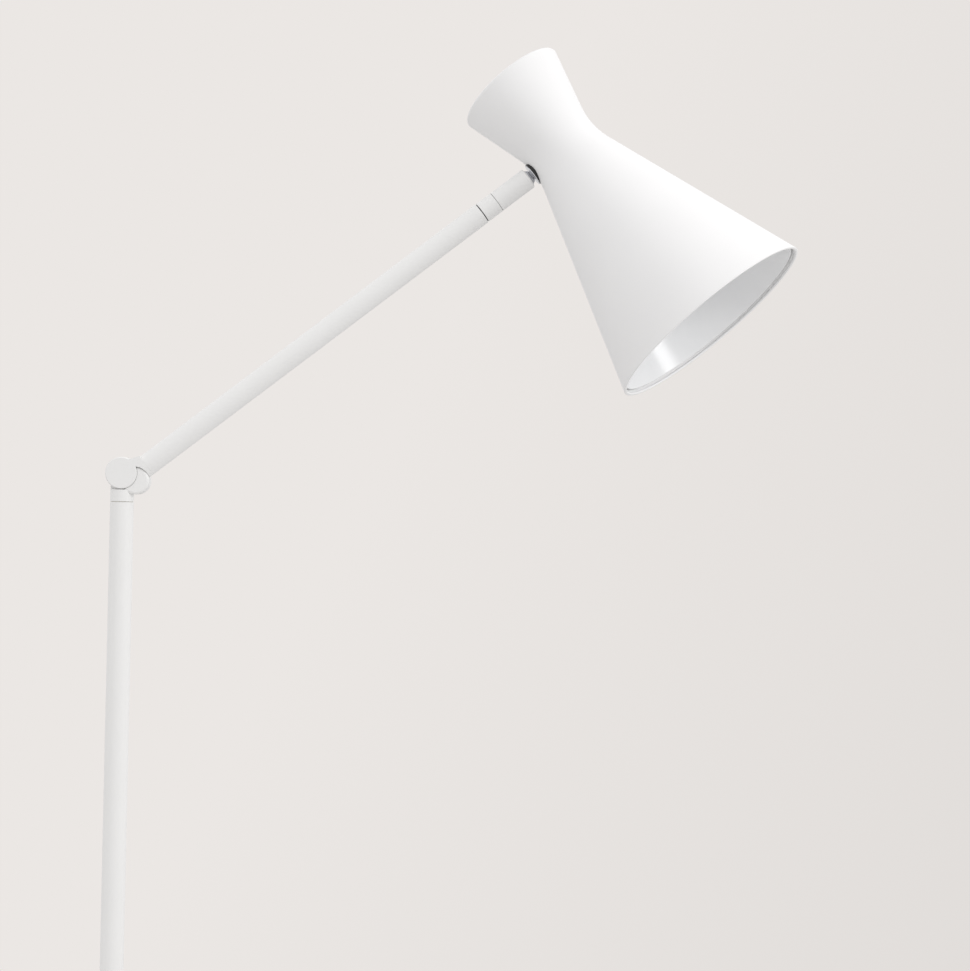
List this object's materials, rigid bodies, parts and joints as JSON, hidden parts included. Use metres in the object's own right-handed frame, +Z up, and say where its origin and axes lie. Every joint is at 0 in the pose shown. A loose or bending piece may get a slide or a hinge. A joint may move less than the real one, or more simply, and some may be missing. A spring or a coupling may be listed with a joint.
{
  "type": "adjustable arm floor lamp",
  "caption": "Floor lamp with a round weighted base, a tube pole, a friction elbow, a straight lifting arm and a ball-jointed hourglass spotlight shade.",
  "frame": {"origin": "centre of the base's underside, on the pole's axis", "axes": "+Z up along the pole; +X the way the arm reaches at rest; -Y the side it is usually seen from"},
  "size_m": [0.6662, 0.25, 1.416],
  "materials": {
    "white_paint": "white satin powder coat",
    "white_shade": "white satin paint on spun aluminium",
    "white_liner": "white semi-gloss reflector paint",
    "cast_iron": "raw casting with a thin dark paint",
    "pad": "black ribbed-free soft pad",
    "zinc_steel": "zinc plated",
    "chrome": "polished chrome",
    "black_plastic": "black moulded",
    "white_plastic": "white moulded",
    "nylon": "natural nylon",
    "aluminium": "turned",
    "brass": "plain brass",
    "ceramic": "glazed white insulator",
    "cord": "white cable sheath"
  },
  "bodies": {
    "stand": {"base_cover": "white_paint", "base_weight": "cast_iron", "base_pad": "pad", "base_washer": "zinc_steel", "base_nut": "zinc_steel", "foot_nipple": "zinc_steel", "foot_plug": "aluminium", "pole_lower": "white_paint", "pole_upper": "white_paint", "cord_bush": "white_plastic", "joiner_socket": "aluminium", "joiner_stud": "aluminium", "pole_bearing": "brass", "swivel_ring": "nylon", "pole_lead": "cord"},
    "elbow": {"elbow_base": "white_paint", "swivel_stop_pin": "zinc_steel", "swivel_washer": "nylon", "swivel_nut": "zinc_steel", "friction_washer": "nylon", "elbow_cap": "white_plastic"},
    "arm": {"elbow_arm": "white_paint", "elbow_screw": "zinc_steel", "elbow_spring_washer": "zinc_steel", "arm_tube": "white_paint", "arm_bearing": "brass", "arm_lead": "cord"},
    "head": {"head_collar": "white_paint", "head_stop_pin": "zinc_steel", "head_ring": "black_plastic", "head_washer": "nylon", "head_nut": "zinc_steel", "ball_housing": "white_paint", "ball_seat": "nylon", "seat_springs": "zinc_steel", "housing_lead": "cord"},
    "shade": {"ball_stem": "chrome", "saddle_washer": "black_plastic", "shade_shell": "white_shade", "shade_liner": "white_liner", "baffle_plate": "white_liner", "inner_washer": "black_plastic", "stem_nut": "zinc_steel", "holder_bracket": "zinc_steel", "holder_nipple": "zinc_steel", "holder_locknut": "zinc_steel", "holder_cap": "white_plastic", "holder_core": "ceramic", "holder_skirt": "white_plastic", "holder_thread": "brass", "holder_contact": "brass", "holder_ring": "white_plastic", "holder_collar": "white_plastic", "head_lead": "cord"}
  },
  "joints": [
    {"name": "pole_swivel", "type": "hinge", "parent": "stand", "child": "elbow", "pos_m": [0, 0, 1.0402], "axis": [0, 0, 1], "range_deg": [-160, 160]},
    {"name": "elbow_hinge", "type": "hinge", "parent": "elbow", "child": "arm", "pos_m": [0, 0, 1.0635], "axis": [0, -1, 0], "range_deg": [0, 52]},
    {"name": "head_swivel", "type": "hinge", "parent": "arm", "child": "head", "pos_m": [0.28732, 0, 1.28069], "axis": [0.7859, 0, 0.6184], "range_deg": [-160, 160]},
    {"name": "head_tilt", "type": "hinge", "parent": "head", "child": "shade", "pos_m": [0.32276, 0, 1.30858], "axis": [0.1095, 0.9842, -0.1392], "range_deg": [-28, 32]}
  ]
}
